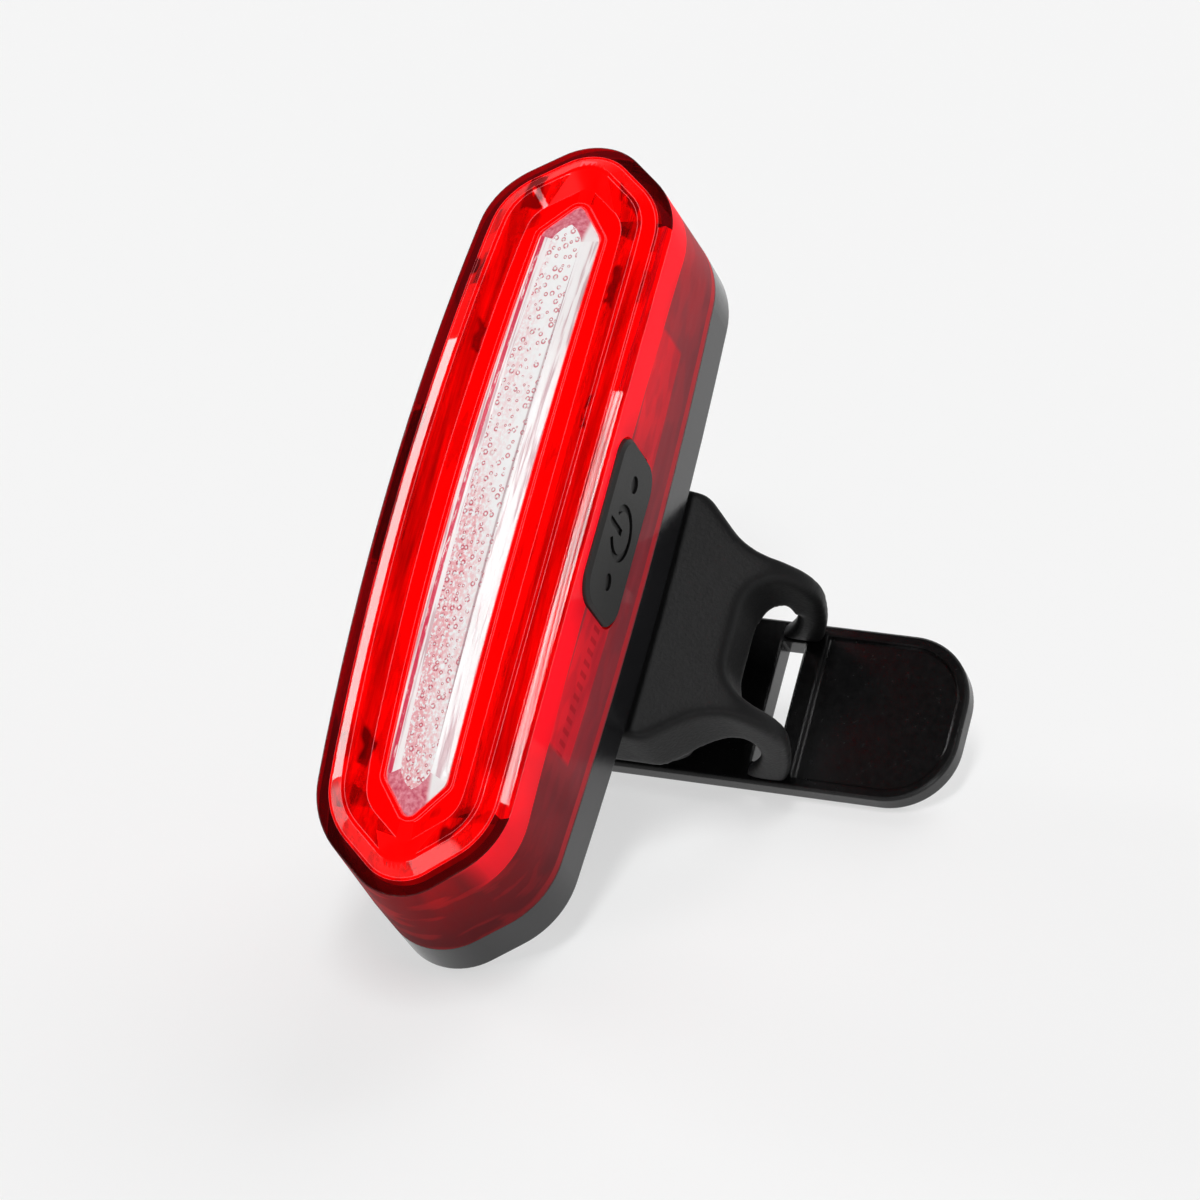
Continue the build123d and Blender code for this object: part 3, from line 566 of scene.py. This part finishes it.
def window_half(inset):
    """Right half of the window's outline, moved in by inset, from the lower to the upper apex."""
    half = WINDOW_HALF - inset
    end = half - WINDOW_BOW
    apex = WINDOW_APEX - inset * APEX_INSET_RATE
    shoulder = apex - WINDOW_TIP * end
    side = [(half - WINDOW_BOW * (k / 8)**2, shoulder * k / 8) for k in range(-7, 8)]
    corner = Vector((end, shoulder))
    start = corner + (Vector(side[-1]) - corner).normalized() * CORNER_CUT
    stop = corner + (Vector((0, apex)) - corner).normalized() * CORNER_CUT
    rounded = [(start * (1 - t)**2 + corner * 2 * t * (1 - t) + stop * t**2)[:] for t in (0, 0.33, 0.67, 1)]
    upper = rounded + [(TIP_HALF, apex - TIP_HALF * WINDOW_TIP), (0, apex - TIP_CUT)]
    lower = [(x, -z) for x, z in reversed(upper)]
    return lower + side + upper


def window_block():
    """The block as one closed mesh: rings from the back to the front, and a cap on its back and front."""
    b = bmesh.new()
    rings = []
    for inset, depth in WINDOW_RINGS:
        half = window_half(inset)
        ring = half + [(-x, z) for x, z in half[-2:0:-1]]
        rings.append([b.verts.new((x * MM, (sag(z) - depth) * MM, z * MM)) for x, z in ring])
    count = len(rings[0])
    for lower, upper in zip(rings, rings[1:]):
        for i in range(count):
            j = (i + 1) % count
            b.faces.new((lower[i], upper[i], upper[j], lower[j]))
    for ring, flip in ((rings[0], False), (rings[-1], True)):
        for i in range(count // 2):
            across = [ring[i], ring[i + 1], ring[(count - i - 1) % count], ring[(count - i) % count]]
            corners = list(dict.fromkeys(across))
            b.faces.new(corners[::-1] if flip else corners)
    bmesh.ops.recalc_face_normals(b, faces=b.faces)
    mesh = bpy.data.meshes.new("window_block")
    b.to_mesh(mesh)
    b.free()
    o = bpy.data.objects.new("window_block", mesh)
    scene.collection.objects.link(o)
    return o


def window_top():
    """Clear face over the pebbled bar: small rings with pale middles, and pink blushes."""
    m = Material("window_dots", (0.93, 0.91, 0.91), 0.10, **GLAZE)
    x, _, z = m.position()
    grain = m.noise((3.2, 0.0, 2.2), detail=4, roughness=0.65)
    slow = m.noise((0.5, 0.0, 0.06))

    # Blushes, stronger towards the lower left
    lean = m.times_plus(x, -0.10, m.times_plus(z, -0.008, slow))
    blush = m.times(m.minus(lean, 0.33, clamp=True), m.contrast(grain, gain=7.0, offset=-2.9))
    tone = m.mix(m.times(blush, 2.6, clamp=True), (0.98, 0.965, 0.965), (0.90, 0.44, 0.47))

    # Dots of several sizes, by the distance from the middle of each cell, and some cells without one
    cells = m.node("TexVoronoi", voronoi_dimensions="2D", Scale=1.0, Randomness=0.8,
                   Vector=m.node("CombineXYZ", X=m.times(x, 1.45), Y=m.times(z, 1.2)).outputs[0])
    chance, size, _ = m.parts(cells.outputs["Color"])
    away = m.math("DIVIDE", cells.outputs["Distance"], m.times_plus(size, 0.17, 0.09))
    here = m.above(chance, 0.12, soft=0.02)
    ring = m.times(m.between(away, 0.70, 1.45, soft=0.25), m.above(grain, 0.44, soft=0.08))
    middle = m.times(m.below(away, 0.6, soft=0.2), here)
    tone = m.tint(tone, middle, (0.98, 0.97, 0.97), share=0.75)
    tone = m.tint(tone, m.times(ring, here), (0.62, 0.06, 0.10), share=0.85)

    # A thin line along the right edge
    line = m.times(m.between(x, *LINE_BAND, soft=0.05), m.times_plus(slow, 1.6, -0.2), clamp=True)
    m.set("Base Color", m.mix(line, tone, (0.42, 0.20, 0.23)))
    m.bump(m.times_plus(middle, -1, grain), 0.06)
    return m


def window_sides():
    """The long bevels: clear streaks, and a broken red stripe that fades to the right."""
    m = Material("window_sides", (0.94, 0.92, 0.92), 0.08, **GLAZE)
    x = m.position()[0]
    drawn = m.noise((2.5, 0.0, 0.55), detail=4, roughness=0.7)
    fine = m.noise((2.2, 0.0, 0.10), detail=3)
    tone = m.ramp(fine, (0.38, (0.66, 0.46, 0.49)), (0.47, (0.95, 0.93, 0.93)), (0.60, (0.97, 0.96, 0.96)))
    stripe = m.between(m.math("ABSOLUTE", x), *STRIPE_BAND, soft=0.06)
    broken = m.times(stripe, m.above(drawn, 0.40, soft=0.08))
    fade = m.slope(x, 1.5, -1.5, curve="LINEAR")
    m.set("Base Color", m.mix(m.times(broken, fade), tone, (0.72, 0.05, 0.11)))
    m.bump(drawn, 0.05)
    return m


def window_ends():
    """The slanted bevels of both ends, which are pink but for their right side."""
    m = Material("window_ends", (0.75, 0.25, 0.3), 0.08, **GLAZE)
    x = m.position()[0]
    grain = m.noise((2.2, 0.0, 2.2), detail=4, roughness=0.6)
    pink = m.ramp(grain, (0.35, (0.62, 0.10, 0.16)), (0.65, (0.82, 0.34, 0.40)))
    m.set("Base Color", m.mix(m.above(x, 1.5, soft=0.25), pink, (0.94, 0.92, 0.92)))
    return m


window = window_block()
for kind in (window_top(), window_sides(), window_ends()):
    window.data.materials.append(kind.data)
TOP, SIDES, ENDS = range(3)
for face in window.data.polygons:
    c = face.center / MM
    if -c.y + sag(c.z) > TOP_DEPTH:
        face.material_index = TOP
    else:
        face.material_index = ENDS if abs(face.normal.z) > END_NORMAL else SIDES
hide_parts("lens_window")
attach(window, "housing")

# Clip: bracket and arms are one moulding with rounded edges

SLOT_HALF = 5.3
SLOT_BACK = 5.2


def soft_moulding(name, sources, voxel, passes, keep):
    """One moulding from several solids, with its edges rounded except where keep(point) holds."""
    b = bmesh.new()
    for source in sources:
        b.from_mesh(nodes[source].data)
    bmesh.ops.remove_doubles(b, verts=b.verts, dist=1e-6)
    mesh = bpy.data.meshes.new(name)
    b.to_mesh(mesh)
    b.free()
    o = bpy.data.objects.new(name, mesh)
    scene.collection.objects.link(o)
    remesh = o.modifiers.new("remesh", "REMESH")
    remesh.mode = "VOXEL"
    remesh.voxel_size = voxel * MM
    bpy.context.view_layer.update()
    done = bpy.data.meshes.new_from_object(o.evaluated_get(bpy.context.evaluated_depsgraph_get()))
    o.modifiers.clear()
    o.data = done
    b = bmesh.new()
    b.from_mesh(done)
    free = [v for v in b.verts if not keep(v.co / MM)]
    for step in range(passes):
        bmesh.ops.smooth_vert(b, verts=free, factor=0.5, use_axis_x=True, use_axis_y=True, use_axis_z=True)
    b.to_mesh(done)
    b.free()
    for face in done.polygons:
        face.use_smooth = True
    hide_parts(*sources)
    return o


def in_slot(p):
    """Whether a point belongs to the T-slot, whose walls aren't rounded."""
    return abs(p.x) < SLOT_HALF and p.y < SLOT_BACK


clip = soft_moulding("clip_moulding", ("clip_bracket", "clip_spring_arms"), voxel=0.28, passes=16,
                     keep=in_slot)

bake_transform(clip)
web_black = grained("clip_web_black", (0.0065, 0.0065, 0.0068), 0.5, 0.30, 0.03, spread=0.15,
                    Specular_IOR_Level=0.16)
clip.data.materials.append(web_black.data)
for name in ("clip_bracket", "clip_spring_arms"):
    dress(name, web_black)

# Housing, lever and rubber parts

body_black = grained("housing_black", (0.008, 0.008, 0.009), 0.18, 0.6, 0.0008, edge=0.25, spread=0.1,
                     Specular_IOR_Level=0.36)
plate_black = grained("plate_black", (0.0026, 0.0026, 0.0028), 0.24, 0.5, 0.002, edge=0.4, spread=0.15,
                      Specular_IOR_Level=0.3)
key_black = grained("button_black", (0.016, 0.016, 0.0155), 0.55, 0.15, 0.012, edge=0.12, spread=0.12,
                    Specular_IOR_Level=0.3)
# Near black for the walls of the button's marks: painted shade in the recesses
mark_wall_shade = grained("mark_wall_shade", (0.002, 0.002, 0.002), 0.7, 0.15, 0.01, spread=0.12,
                     Specular_IOR_Level=0.1)
dress("rear_housing", body_black)
dress("housing_seal", grained("seal_grey", (0.05, 0.05, 0.05), 0.6, 0.2, 0.004))
dress("clip_lever", plate_black)
dress("port_cover", key_black)
dress("cover_anchor", key_black)
dress("button", key_black, mark_wall_shade)

# The button's marks are cut into its face beyond this x. They surround a middle at this depth and
# height, and reach this far from it towards the front and the back, and up and down.
MARKS_X = 10.15
MARKS_DEPTH = 14.2
MARKS_Z = 0.6
MARKS_REACH = (4, 7)
WALL_NORMAL = 0.3


def in_mark(c, n):
    """Whether a face of the button with centre c and normal n is a wall of one of its marks, which gets
    painted shade.
    """
    reach_y, reach_z = MARKS_REACH
    near = abs(-c.y - MARKS_DEPTH) < reach_y and abs(c.z - MARKS_Z) < reach_z
    return near and c.x > MARKS_X and abs(n.x) < WALL_NORMAL


for face in nodes["button"].data.polygons:
    if in_mark(face.center / MM, face.normal):
        face.material_index = 1

# Inner parts


def board(name, mask, copper, track):
    """Printed board: solder mask over tracks, which show as a lighter relief, and round pads."""
    m = Material(name, mask, 0.35)
    tracks = m.node("TexBrick", Vector=m.place((1, 0, 1)), Scale=0.45, Mortar_Size=0.05,
                    Color1=(0, 0, 0), Color2=(0.25, 0.25, 0.25), Mortar=(1, 1, 1)).outputs["Color"]
    cells = m.node("TexVoronoi", Vector=m.place((1, 0, 1)), Scale=0.55).outputs["Distance"]
    m.set("Base Color", m.mix(m.below(cells, 0.14, soft=0.02), m.mix(tracks, mask, track), copper))
    m.bump(tracks, 0.02)
    return m


def phosphor():
    """Yellow phosphor with the light-emitting dies as darker dots in it."""
    m = Material("phosphor", (0.85, 0.68, 0.12), 0.5, Subsurface_Weight=0.1)
    dies = m.node("TexVoronoi", Vector=m.place((0.9, 0, 1.2)), Scale=1.0, Randomness=0.0).outputs["Distance"]
    m.set("Base Color", m.ramp(dies, (0.15, (0.62, 0.42, 0.05)), (0.45, (0.88, 0.72, 0.16))))
    m.bump(dies, 0.05)
    return m


steel = grained("screw_steel", (0.52, 0.52, 0.54), 0.32, 0.12, 0.004, spread=0.15, Metallic=1.0)
tin = grained("tinned_metal", (0.66, 0.65, 0.62), 0.28, 0.2, 0.004, spread=0.1, Metallic=1.0)
chip = grained("chip_black", (0.02, 0.02, 0.022), 0.45, 0.12, 0.01, spread=0.2)
for name, material in (
    ("led_carrier", grained("carrier_white", (0.88, 0.86, 0.85), 0.4, 0.6, 0.01, spread=0.04)),
    ("diffuser", grained("diffuser_white", (0.90, 0.87, 0.86), 0.3, 0.8, 0.08, spread=0.05)),
    ("main_board", board("board_green", (0.015, 0.11, 0.05), (0.75, 0.72, 0.62), (0.03, 0.20, 0.09))),
    ("led_board", board("board_white", (0.82, 0.82, 0.80), (0.80, 0.78, 0.70), (0.70, 0.70, 0.68))),
    ("cob_strip", phosphor()),
    ("battery", grained("battery_foil", (0.62, 0.63, 0.65), 0.35, 1.6, 0.05, spread=0.15, Metallic=0.9)),
    ("battery_pad", grained("foam_grey", (0.10, 0.10, 0.11), 0.9, 0.35, 0.10, spread=0.3)),
    ("battery_leads", grained("lead_red", (0.55, 0.02, 0.02), 0.4, 0.3, 0.01)),
    ("case_screws", steel),
    ("board_screws", steel),
    ("usb_shell", tin),
    ("usb_tongue", grained("tongue_black", (0.015, 0.015, 0.015), 0.4, 0.2, 0.005)),
    ("link_pins", tin),
    ("tact_switch", chip),
    ("switch_plunger", key_black),
    ("controller_chip", chip),
    ("power_parts", grained("part_brown", (0.16, 0.10, 0.07), 0.5, 0.3, 0.02)),
    ("charge_led", grained("led_milk", (0.80, 0.82, 0.78), 0.25, 0.3, 0.01, spread=0.05)),
):
    dress(name, material)

# Floor: plain and pale. The light stands on it with the housing's lower end and the clip's plate.

FLOOR_NORMAL = Vector((0, -0.7856, 0.6187))
FLOOR_DISTANCE = -22.706

# The edge of the floor's square, in metres
FLOOR_SIZE = 6

FLOOR_TONE = (0.34, 0.34, 0.34)
FLOOR_GLOW = 0.585


def stage_pale():
    """A pale floor that is not seen from below. A part of its tone is a glow that only the camera,
    reflections and refractions see, so that its shadows stay light."""
    m = Material("stage_pale", FLOOR_TONE, 0.9, Specular_IOR_Level=0.0)
    seen = m.rays("Is Camera Ray", "Is Glossy Ray", "Is Transmission Ray")
    glow = m.node("Emission", Color=(1, 1, 1), Strength=m.times(seen, FLOOR_GLOW)).outputs[0]
    lit = m.join("AddShader", m.principled.outputs[0], glow)
    from_below = m.node("NewGeometry").outputs["Backfacing"]
    m.show(m.join("MixShader", from_below, lit, m.shader("BsdfTransparent", (1, 1, 1))))
    return m


def facing(direction):
    """The turn that points Z along a direction."""
    return direction.to_track_quat("Z", "Y").to_matrix().to_4x4()


bpy.ops.mesh.primitive_plane_add(size=FLOOR_SIZE)
floor = bpy.context.object
floor.name = "stage_floor"
floor.matrix_world = Matrix.Translation(FLOOR_NORMAL * FLOOR_DISTANCE * MM) @ facing(FLOOR_NORMAL)
floor.data.materials.append(stage_pale().data)

# Camera: the photo's own, as solved from the outlines of the object in it

RIGHT = Vector((0.9258, 0.2850, 0.2485))
DOWN = Vector((0.1144, 0.4153, -0.9025))
FORWARD = Vector((-0.3604, 0.8639, 0.3518))
CAMERA_PLACE = Vector((196.4, -460.4, -187.7))

camera_data = bpy.data.cameras.new("camera")
camera_data.lens = 174.93
camera_data.sensor_width = 36
camera_data.clip_start = 0.01
camera = bpy.data.objects.new("camera", camera_data)
scene.collection.objects.link(camera)
turn = Matrix((RIGHT, -DOWN, -FORWARD)).transposed().to_4x4()
camera.matrix_world = Matrix.Translation(CAMERA_PLACE * MM) @ turn
scene.camera = camera

# Lamps, with distances and sizes in metres


def softbox(name, direction, distance, width, height, watts):
    """A rectangular lamp that shines from a direction at the origin, and isn't seen by the camera."""
    data = bpy.data.lights.new(name, "AREA")
    data.shape = "RECTANGLE"
    data.size = width
    data.size_y = height
    data.energy = watts
    lamp = bpy.data.objects.new(name, data)
    scene.collection.objects.link(lamp)
    d = Vector(direction).normalized()
    lamp.matrix_world = Matrix.Translation(d * distance) @ facing(d)
    lamp.visible_camera = False
    return lamp


softbox("lamp_left", (-0.956, -0.082, 0.286), 1.2, 0.26, 0.46, 5.0)
softbox("lamp_right", (0.146, -0.955, 0.255), 1.2, 0.18, 0.60, 7.5)
softbox("lamp_top", (0.15, 0.12, 0.98), 1.6, 1.0, 1.0, 14).visible_glossy = False

# World: pale all round, dark towards the room behind the camera, with a low strip of light along the
# edge of the table. The camera sees a plain background instead, also through the clear parts.

BACKGROUND = 0.922
PALE = 0.85
DARK = 0.02
STRIP = 5.0
ROOM = (-0.3, -0.90, 0.30)
STRIP_SIDE = (-0.33, -0.62, -0.71)

# Each of them begins or ends between these cosines of the angle to its direction
TABLE_FADE = (0.12, 0.16)
STRIP_FADE = (0.2, 0.4)
ROOM_FADE = (0.05, 0.45)


def studio():
    """The light by its direction, and the plain background for the camera and the clear parts."""
    world = bpy.data.worlds.new("world")
    world.use_nodes = True
    w = Nodes(world.node_tree)
    direction = w.node("TexCoord").outputs["Generated"]
    table = w.slope(w.dot(direction, FLOOR_NORMAL), *TABLE_FADE, low=1, high=0)
    strip = w.times(table, w.slope(w.dot(direction, STRIP_SIDE), *STRIP_FADE, high=STRIP))
    light = w.plus(w.slope(w.dot(direction, ROOM), *ROOM_FADE, low=PALE, high=DARK), strip)
    seen = w.rays("Is Camera Ray", "Is Transmission Ray")
    background = w.tree.nodes["Background"]
    w.put(background.inputs["Color"], (1, 1, 1))
    w.put(background.inputs["Strength"], w.mix_numbers(seen, light, BACKGROUND))
    return world


scene.world = studio()
scene.view_settings.view_transform = "Standard"
